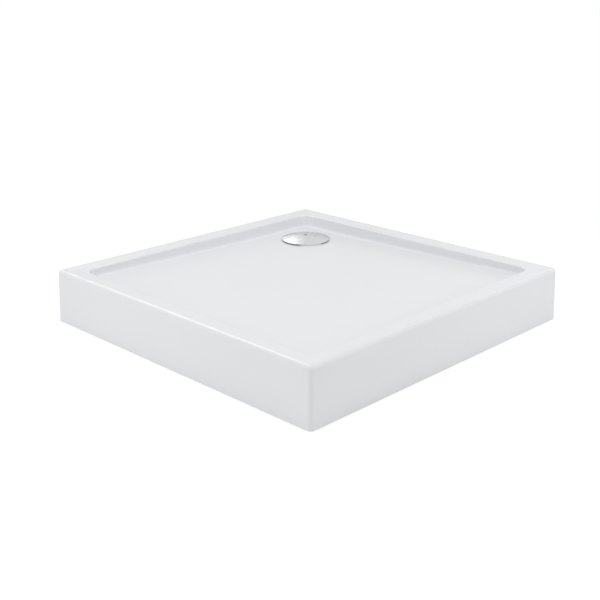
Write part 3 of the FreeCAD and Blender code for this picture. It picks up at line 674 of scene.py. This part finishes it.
class Recipe(Tree):
    """Geometry nodes with named inputs, run over a piece and then made plain mesh."""

    KINDS = {
        float: "NodeSocketFloat",
        int: "NodeSocketInt",
        tuple: "NodeSocketVector",
        bpy.types.Object: "NodeSocketObject",
    }

    def __init__(self, name, **inputs):
        super().__init__(bpy.data.node_groups.new(name, "GeometryNodeTree"))
        face = self.tree.interface
        face.new_socket("Piece", in_out="INPUT", socket_type="NodeSocketGeometry")
        for label, kind in inputs.items():
            face.new_socket(label.replace("_", " "), in_out="INPUT", socket_type=self.KINDS[kind])
        face.new_socket("Piece", in_out="OUTPUT", socket_type="NodeSocketGeometry")
        self.given = self.tree.nodes.new("NodeGroupInput")

    def input(self, label):
        return Socket(self.given.outputs[label])

    def vector(self, x, y, z):
        return self.node("ShaderNodeCombineXYZ", {}, {0: x, 1: y, 2: z})

    def moved(self, shape, by):
        return self.node("GeometryNodeTransform", {}, {"Geometry": shape, "Translation": by})

    def disc(self, corners, radius):
        return self.node("GeometryNodeMeshCircle", {"fill_type": "NGON"}, {
            "Vertices": corners, "Radius": radius})

    def geometry_of(self, label):
        """The geometry of an object that is an input."""
        return self.node("GeometryNodeObjectInfo", {"transform_space": "ORIGINAL"},
                         {"Object": self.input(label)}, out="Geometry")

    def copies(self, shape, points, turn):
        """A copy at each point, turned about an upright axis."""
        return self.node("GeometryNodeInstanceOnPoints", {}, {
            "Points": points, "Instance": shape, "Rotation": self.vector(0.0, 0.0, turn)})

    def group(self, *shapes):
        """Several geometries as one."""
        join = self.tree.nodes.new("GeometryNodeJoinGeometry")
        for shape in reversed(shapes):
            self.tree.links.new(shape.link, join.inputs[0])
        return Socket(join.outputs[0])

    def done(self, shape, material):
        real = self.node("GeometryNodeRealizeInstances", {}, {0: shape})
        worn = self.node("GeometryNodeSetMaterial", {}, {"Geometry": real, "Material": material})
        self.node("NodeGroupOutput", {}, {0: worn})
        return self

    def run(self, piece, sharp=35, **values):
        steps = piece.modifiers.new(self.tree.name, "NODES")
        steps.node_group = self.tree
        for item in self.tree.interface.items_tree:
            label = item.name.replace(" ", "_")
            if item.in_out == "INPUT" and label in values:
                steps[item.identifier] = values[label]
        whole = piece.evaluated_get(bpy.context.evaluated_depsgraph_get())
        piece.data = bpy.data.meshes.new_from_object(whole)
        piece.modifiers.clear()
        piece.data.polygons.foreach_set("use_smooth", [True] * len(piece.data.polygons))
        piece.data.set_sharp_from_angle(angle=math.radians(sharp))
        return piece


def thread_recipe():
    """A right-hand thread about an upright axis, in four rows of points a turn: crest, flank, root and
    flank. It runs out at its bottom and narrows to its top."""
    recipe = Recipe("thread", Middle=tuple, Radius=float, Depth=float, Pitch=float, Bottom=float, Top=float,
                    Point=float, Taper=float, Turns=int)
    radius, depth, pitch, bottom, top, point, taper, turns = (recipe.input(label) for label in (
        "Radius", "Depth", "Pitch", "Bottom", "Top", "Point", "Taper", "Turns"))
    crest, flank, root = 1 / 8, 5 / 16, 1 / 4
    around = 40
    grid = recipe.node("GeometryNodeMeshGrid", {}, {
        "Size X": 1.0, "Size Y": 1.0, "Vertices X": around + 1, "Vertices Y": turns * 4 + 1})
    here = recipe.node("GeometryNodeInputPosition")
    share, up = (recipe.part(here, axis) + 0.5 for axis in (0, 1))
    row = (up * turns * 4).maths("ROUND", up * turns * 4)
    turn = row.maths("FLOOR", row / 4)
    phase = row - turn * 4
    ahead = phase.above(0.5) * crest + phase.above(1.5) * flank + phase.above(2.5) * root
    height = bottom + pitch * (turn + ahead + share - 1)
    height = height.maths("MINIMUM", height.maths("MAXIMUM", height, bottom), top)
    reach = radius - depth * phase.above(1.5)
    reach = reach.maths("MINIMUM", reach, radius - point + (top - height) * taper)
    reach = reach.maths("MINIMUM", reach, radius - depth + (height - bottom))
    angle = share * (2 * math.pi)
    spot = recipe.vector(reach * angle.maths("COSINE", angle), reach * angle.maths("SINE", angle), height)
    spiral = recipe.node("GeometryNodeSetPosition", {}, {"Geometry": grid, "Position": spot})
    lid = recipe.moved(recipe.disc(around, radius - point), recipe.vector(0.0, 0.0, top))
    foot = recipe.node("GeometryNodeFlipFaces", {}, {0: recipe.disc(around, radius - depth)})
    foot = recipe.moved(foot, recipe.vector(0.0, 0.0, bottom))
    closed = recipe.node("GeometryNodeMergeByDistance", {}, {
        "Geometry": recipe.group(spiral, lid, foot), "Distance": 1e-6})
    set_down = recipe.moved(closed, recipe.input("Middle"))
    return recipe.done(recipe.group(recipe.input("Piece"), set_down), ZINC)


def ring_recipe(material):
    """Copies of a part, evenly turned about an upright axis."""
    recipe = Recipe("ring", Part=bpy.types.Object, Count=int, Middle=tuple)
    count = recipe.input("Count")
    line = recipe.node("GeometryNodeMeshLine", {}, {
        "Count": count, "Start Location": recipe.input("Middle"), "Offset": (0, 0, 0)})
    turn = recipe.node("GeometryNodeInputIndex") * (2 * math.pi) / count
    ring = recipe.copies(recipe.geometry_of("Part"), line, turn)
    return recipe.done(recipe.group(recipe.input("Piece"), ring), material)


def screw_recipe():
    """A screw at each point of the piece, each stopped at a turn of its own."""
    recipe = Recipe("screws", Screw=bpy.types.Object, Seed=int)
    turn = recipe.node("FunctionNodeRandomValue", {"data_type": "FLOAT"},
                       {2: 0.0, 3: 2 * math.pi, "Seed": recipe.input("Seed")}, out=1)
    return recipe.done(recipe.copies(recipe.geometry_of("Screw"), recipe.input("Piece"), turn), ZINC)


THREAD = thread_recipe()


def threaded(piece, middle, taper, turns, **sizes):
    """The piece with a thread added, whose sizes are in millimetres."""
    in_metres = {label: size * MM for label, size in sizes.items()}
    return THREAD.run(piece, 30, Middle=(*np.multiply(middle, MM), 0), Taper=taper, Turns=turns, **in_metres)


# The feet's hardware, from the plate down. Bores are given by their radii.

PLATE_BOTTOM = 47.5
WELD_NUT_BOTTOM = 37.5
LOCK_NUT_BOTTOM = 31.5
NUT_FLATS = 18
NUT_BORE = 6.1
ROD_TOP = 62
ROD_RADIUS = 6
ROD_PITCH = 1.75
COLLAR_FLATS = 16
COLLAR_TOP = 17.3
COLLAR_BOTTOM = 12.3
STUB_RADIUS = 5
STUB_BOTTOM = 4.3
SCREW_SPREAD = 26
SIXTH = math.radians(60)


def hexagon_reach(flats, angle):
    """How far a hexagon's side lies from its middle in a direction."""
    return flats / 2 / math.cos((angle + SIXTH / 2) % SIXTH - SIXTH / 2)


def chamfered_hexagon(middle, flats, bottom, top, bore=0, sink=0):
    """A hexagon whose corners are turned off at both ends, with a countersink at each end of its bore."""
    rings = []
    around = 72
    crown = flats / 2 * 0.955
    slope = math.tan(math.radians(30))
    levels = [(bore, bottom + sink), (bore + sink, bottom), (crown, bottom), (None, bottom), (None, top),
              (crown, top), (bore + sink, top), (bore, top - sink)]
    for radius, height in levels:
        ring = []
        for step in range(around):
            angle = 2 * math.pi * step / around
            reach, level = radius, height
            if radius is None:
                reach = hexagon_reach(flats, angle)
                turned_off = max(reach - crown, 0.02) * slope
                level += turned_off if height == bottom else -turned_off
            ring.append((middle[0] + reach * math.cos(angle), middle[1] + reach * math.sin(angle), level))
        rings.append(ring)
    return strips(rings, close_rings=True)


def weld_bead(middle, flats, side, top):
    """An uneven bead laid along one flat of a nut, in the corner between it and the plate above."""
    length, size, sunk = 13, 2.4, 0.4
    steps, arc_steps = 18, 8
    angle = SIXTH * side
    out = np.array([math.cos(angle), math.sin(angle)])
    along = np.array([-out[1], out[0]])
    rings = []
    for step in range(steps + 1):
        share = step / steps
        fullness = 0.25 + 0.75 * math.sin(math.pi * share) ** 0.35
        swell = size * fullness * (1 + 0.10 * math.sin(share * 31 + side))
        heart = np.array(middle) + out * (flats / 2 - sunk) + along * (share - 0.5) * length
        ring = []
        for turn in range(arc_steps + 1):
            tilt = math.radians(90 * turn / arc_steps)
            flat = heart + out * (sunk + swell * math.cos(tilt))
            ring.append((*flat, top - swell * math.sin(tilt)))
        ring.append((*heart, top - swell))
        ring.append((*heart, top))
        rings.append(ring)
    points, faces = strips(rings)
    count = len(rings[0])
    return points, faces + [tuple(range(count)), tuple(len(points) - 1 - index for index in range(count))]


def all_nuts(name, node, bottom, top, welded):
    """A nut on each rod, and if they are welded, a bead along every other flat."""
    parts = []
    for foot in FEET:
        parts.append(chamfered_hexagon(foot, NUT_FLATS, bottom, top, NUT_BORE, sink=0.7))
        if welded:
            parts += [weld_bead(foot, NUT_FLATS, side, top) for side in range(0, 6, 2)]
    nuts = mesh_piece(name, *joined(*parts), ZINC, sharp=25)
    ride(nuts, "root", node)


def foot_rod(number, foot):
    """A threaded rod over a hexagon collar, with a round stub that turns in the pad."""
    sunk = 0.2
    collar = chamfered_hexagon(foot, COLLAR_FLATS, COLLAR_BOTTOM, COLLAR_TOP)
    stub_top = COLLAR_BOTTOM + 0.3
    outline = profile([(0, STUB_BOTTOM), (STUB_RADIUS, STUB_BOTTOM, 0.8), (STUB_RADIUS, stub_top),
                       (0, stub_top)], 3)
    stub = lathe(outline, 40, foot, closed=False)
    rod = mesh_piece(f"levelling_rod_{number}", *joined(collar, stub), ZINC, sharp=25)
    threaded(rod, foot, taper=1.0, turns=28, Radius=ROD_RADIUS, Depth=1.07, Pitch=ROD_PITCH,
             Bottom=COLLAR_TOP - sunk, Top=ROD_TOP, Point=1.5)
    ride(rod, f"rod_{number}", f"foot_rod_{number}")


def foot_pad(number, foot, ribs):
    """A plastic foot with ribs up to its neck, a socket for the rod, and rings underneath that grip."""
    outline = profile([
        (0, 0.8), (5.4, 0.8), (6, 0, 0.2), (9, 0, 0.2), (9.6, 0.8), (12.4, 0.8), (13, 0, 0.2), (16, 0, 0.2),
        (16.6, 0.8), (19.4, 0.8), (20, 0, 0.2), (25, 0, 0.6), (25, 3, 0.9), (12.5, 6, 5), (9.5, 12, 0.6),
        (5.3, 12, 0.5), (5.3, 4), (0, 4)], 4)
    pad = mesh_piece(f"grip_pad_{number}", *lathe(outline, 72, foot, closed=False), FOOT_PLASTIC)
    corners = ((8, 1.0, 11.5), (9.6, 1.0, 11.5), (24.2, 0.7, 3.5), (24.2, 0.7, 2.5), (8, 1.0, 4.0))
    rib = [(across, side * half, up) for side in (-1, 1) for across, half, up in corners]
    edges = [(step, step + 5, (step + 1) % 5 + 5, (step + 1) % 5) for step in range(5)]
    one = mesh_piece("pad_rib", rib, [(0, 1, 2, 3, 4), (9, 8, 7, 6, 5)] + edges, FOOT_PLASTIC)
    ribs.run(pad, 40, Part=one, Count=8, Middle=(*np.multiply(foot, MM), 0))
    bpy.data.objects.remove(one)
    ride(pad, f"pad_{number}", f"foot_pad_{number}")


def cross_head_screw():
    """A pan-head wood screw, head down, with its seat at nought."""
    head = profile([(0, -2.6), (1.9, -2.6, 2.5), (4, -1.6, 1.2), (4, 0, 0.15), (0, 0)], 5)
    screw = mesh_piece("screw", *lathe(head, 40, closed=False), ZINC)
    sides = [(0, 1, 2, 3), (7, 6, 5, 4), (0, 4, 5, 1), (1, 5, 6, 2), (2, 6, 7, 3), (3, 7, 4, 0)]
    for long_way in (0, 1):
        wing = []
        for up, reach, half in ((-3.2, 2.5, 0.62), (-1.15, 1.2, 0.42)):
            for along, across in ((-1, -1), (1, -1), (1, 1), (-1, 1)):
                flat = (along * reach, across * half)
                wing.append((*(flat if long_way else flat[::-1]), up))
        cutter = mesh_piece("recess", wing, sides, ZINC)
        cut = screw.modifiers.new("recess", "BOOLEAN")
        cut.object = cutter
        cut.solver = "EXACT"
        whole = screw.evaluated_get(bpy.context.evaluated_depsgraph_get())
        screw.data = bpy.data.meshes.new_from_object(whole)
        screw.modifiers.clear()
        bpy.data.objects.remove(cutter)
    return threaded(screw, (0, 0), taper=0.5, turns=13, Radius=2, Depth=0.55, Pitch=1.6, Bottom=-0.4,
                    Top=16, Point=1.95)


def plate_screws():
    """Four screws through each plate into its block."""
    seats = [(foot[0] + SCREW_SPREAD * across, foot[1] + SCREW_SPREAD * along, PLATE_BOTTOM)
             for foot in FEET for across in (-1, 1) for along in (-1, 1)]
    screw = cross_head_screw()
    screws = mesh_piece("block_screws", seats, [], ZINC)
    screw_recipe().run(screws, 30, Screw=screw, Seed=11)
    bpy.data.objects.remove(screw)
    ride(screws, "root", "plate_screws")


all_nuts("welded_nuts", "weld_nuts", WELD_NUT_BOTTOM, PLATE_BOTTOM, welded=True)
all_nuts("locking_nuts", "lock_nuts", LOCK_NUT_BOTTOM, WELD_NUT_BOTTOM, welded=False)
plate_screws()
PAD_RIBS = ring_recipe(FOOT_PLASTIC)
for number, foot in enumerate(FEET, 1):
    foot_rod(number, foot)
    foot_pad(number, foot, PAD_RIBS)


# Room, light and camera.

def ray_is(tree, *kinds):
    """One for the rays of these kinds, and nought for others."""
    total = 0.0
    for kind in kinds:
        total = tree.node("ShaderNodeLightPath", out=f"Is {kind} Ray") + total
    return total.held()


def white_room(overhead, right_hand, card):
    """A soft sky, brightest overhead, with a little light from the right. It looks plain white to the eye.
    Metal and gloss show a bright card that hangs high on the left, behind the tray, and a room that is
    darker on the left and paler on the right."""
    darker, paler = 0.2, 0.1
    world = bpy.data.worlds.new("white_room")
    world.use_nodes = True
    tree = Tree(world.node_tree)
    tree.tree.nodes.clear()
    way = tree.node("ShaderNodeTexCoord", out="Generated")
    across, along, up = (tree.part(way, axis) for axis in range(3))
    level = up.held() * overhead + (0 - along).held() * right_hand
    sky = tree.node("ShaderNodeBackground", {}, {"Color": level})
    left = (along - across) * math.sqrt(0.5)
    behind = (along + across).step(0.0, 0.3)
    hung = left.step(0.0, 0.27) * (1 - left.step(0.45, 0.55)) * behind
    hung = hung * up.step(0.45, 0.55) * (1 - up.step(0.72, 0.8))
    shown = hung * card + (0 - left).step(0.05, 0.3) * paler - left.step(0.05, 0.3) * darker
    white = tree.node("ShaderNodeBackground", {}, {"Color": 1 + shown * ray_is(tree, "Glossy")})
    seen = ray_is(tree, "Camera", "Glossy", "Transmission")
    both = tree.node("ShaderNodeMixShader", {}, {0: seen, 1: sky, 2: white})
    tree.node("ShaderNodeOutputWorld", {}, {"Surface": both})
    bpy.context.scene.world = world


def floor_cloth():
    """A floor that is white to the eye all round, and a touch darker in the tray's own shadow."""
    finish = Finish("floor_cloth")
    away = finish.node("ShaderNodeVectorMath", {"operation": "LENGTH"}, {0: finish.place}, out="Value")
    clear = away.step(0.75, 1.35)
    pale = finish.mix(finish.noise(2, 2), grey(0.93), grey(0.95))
    paper = finish.node("ShaderNodeBsdfDiffuse", {}, {"Color": pale})
    shaded = finish.node("ShaderNodeBsdfDiffuse", {}, {"Color": grey(0.42)})
    glow = finish.node("ShaderNodeEmission", {}, {"Color": grey(1.0), "Strength": 0.70})
    catcher = finish.node("ShaderNodeAddShader", {}, {0: shaded, 1: glow})
    plain = finish.node("ShaderNodeEmission", {}, {"Color": grey(1.0), "Strength": 1.0})
    eye = finish.node("ShaderNodeMixShader", {}, {0: clear, 1: catcher, 2: plain})
    both = finish.node("ShaderNodeMixShader", {}, {0: ray_is(finish, "Camera"), 1: paper, 2: eye})
    finish.node("ShaderNodeOutputMaterial", {}, {"Surface": both})
    mesh = bpy.data.meshes.new("floor")
    reach = 30
    corners = [(-reach, -reach, 0), (reach, -reach, 0), (reach, reach, 0), (-reach, reach, 0)]
    mesh.from_pydata(corners, [], [(0, 1, 2, 3)])
    mesh.materials.append(finish.material)
    floor = bpy.data.objects.new("floor", mesh)
    floor.location.z = -0.0005
    bpy.context.scene.collection.objects.link(floor)


def soft_lamp(name, spot, aim, size, power):
    """A large square lamp at one point, turned to another. Gloss doesn't show it."""
    lamp = bpy.data.lights.new(name, "AREA")
    lamp.shape = "RECTANGLE"
    lamp.size = lamp.size_y = size
    lamp.energy = power
    made = bpy.data.objects.new(name, lamp)
    made.location = spot
    made.rotation_mode = "QUATERNION"
    made.rotation_quaternion = (Vector(aim) - Vector(spot)).to_track_quat("-Z", "Y")
    made.visible_glossy = False
    bpy.context.scene.collection.objects.link(made)


def photo_camera():
    """The camera where the photograph was taken from."""
    spot = (-1.4985, -1.4676, 0.7807)
    turn, rise, roll = map(math.radians, (-45.152, 19.282, -0.190))
    back = Vector((math.sin(turn) * math.cos(rise), -math.cos(turn) * math.cos(rise), math.sin(rise)))
    across = Vector((0, 0, 1)).cross(back).normalized()
    up = back.cross(across)
    tilted = across * math.cos(roll) + up * math.sin(roll)
    upward = up * math.cos(roll) - across * math.sin(roll)
    data = bpy.data.cameras.new("photo_camera")
    data.lens = 58.887
    data.sensor_width = 36
    data.clip_start, data.clip_end = 0.05, 100
    camera = bpy.data.objects.new("photo_camera", data)
    turned = Matrix((tilted, upward, back)).transposed().to_4x4()
    camera.matrix_world = Matrix.Translation(spot) @ turned
    bpy.context.scene.collection.objects.link(camera)
    bpy.context.scene.camera = camera


TRAY = (0, 0, 0.1)
RIGHT_END = (0.2, -0.3, 0.1)
white_room(overhead=0.708, right_hand=0.0875, card=3.2)
floor_cloth()
soft_lamp("overhead", (0, 0, 2.4), TRAY, size=2.0, power=13.5)
soft_lamp("left", (-2.35, 0.5, 1.2), TRAY, size=1.6, power=20.2)
soft_lamp("right", (0.5, -2.35, 1.2), TRAY, size=1.6, power=11.2)
soft_lamp("right_end", (1.6, -1.6, 0.8), RIGHT_END, size=1.2, power=5.9)
photo_camera()
bpy.context.scene.view_settings.view_transform = "Standard"
